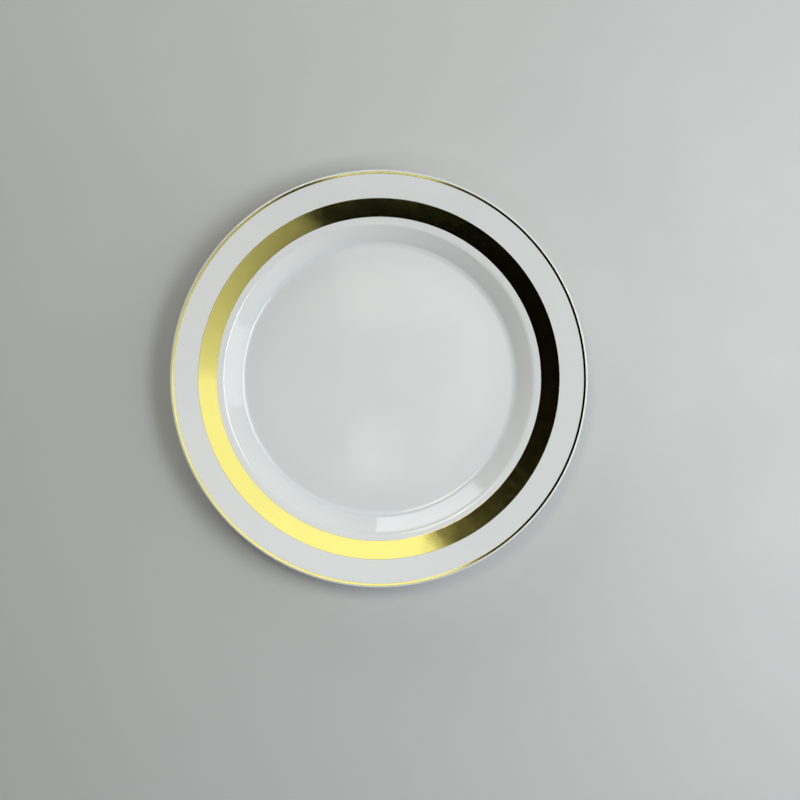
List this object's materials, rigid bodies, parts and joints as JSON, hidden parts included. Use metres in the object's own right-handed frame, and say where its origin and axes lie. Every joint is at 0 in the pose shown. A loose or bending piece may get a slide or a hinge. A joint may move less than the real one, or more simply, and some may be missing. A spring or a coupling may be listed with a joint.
{
  "type": "dinner plate",
  "caption": "Round white china dinner plate with a flat well, a sloping wall, a wide rim with gold banding, and a low foot ring to stand and stack on.",
  "frame": {"origin": "on the plate's axis, in the plane that the foot ring stands on", "axes": "+Z is the plate's axis, pointing up out of the well; X and Y lie in the table's plane, and the plate is the same all round"},
  "size_m": [0.266, 0.266, 0.0238],
  "materials": {
    "bisque": "matte",
    "white_glaze": "gloss",
    "gold": "polished"
  },
  "bodies": {
    "root": {"porcelain_body": "bisque", "glaze_coat": "white_glaze", "foot_well_glaze": "white_glaze", "wide_gold_band": "gold", "rim_gold_line": "gold"}
  },
  "joints": []
}
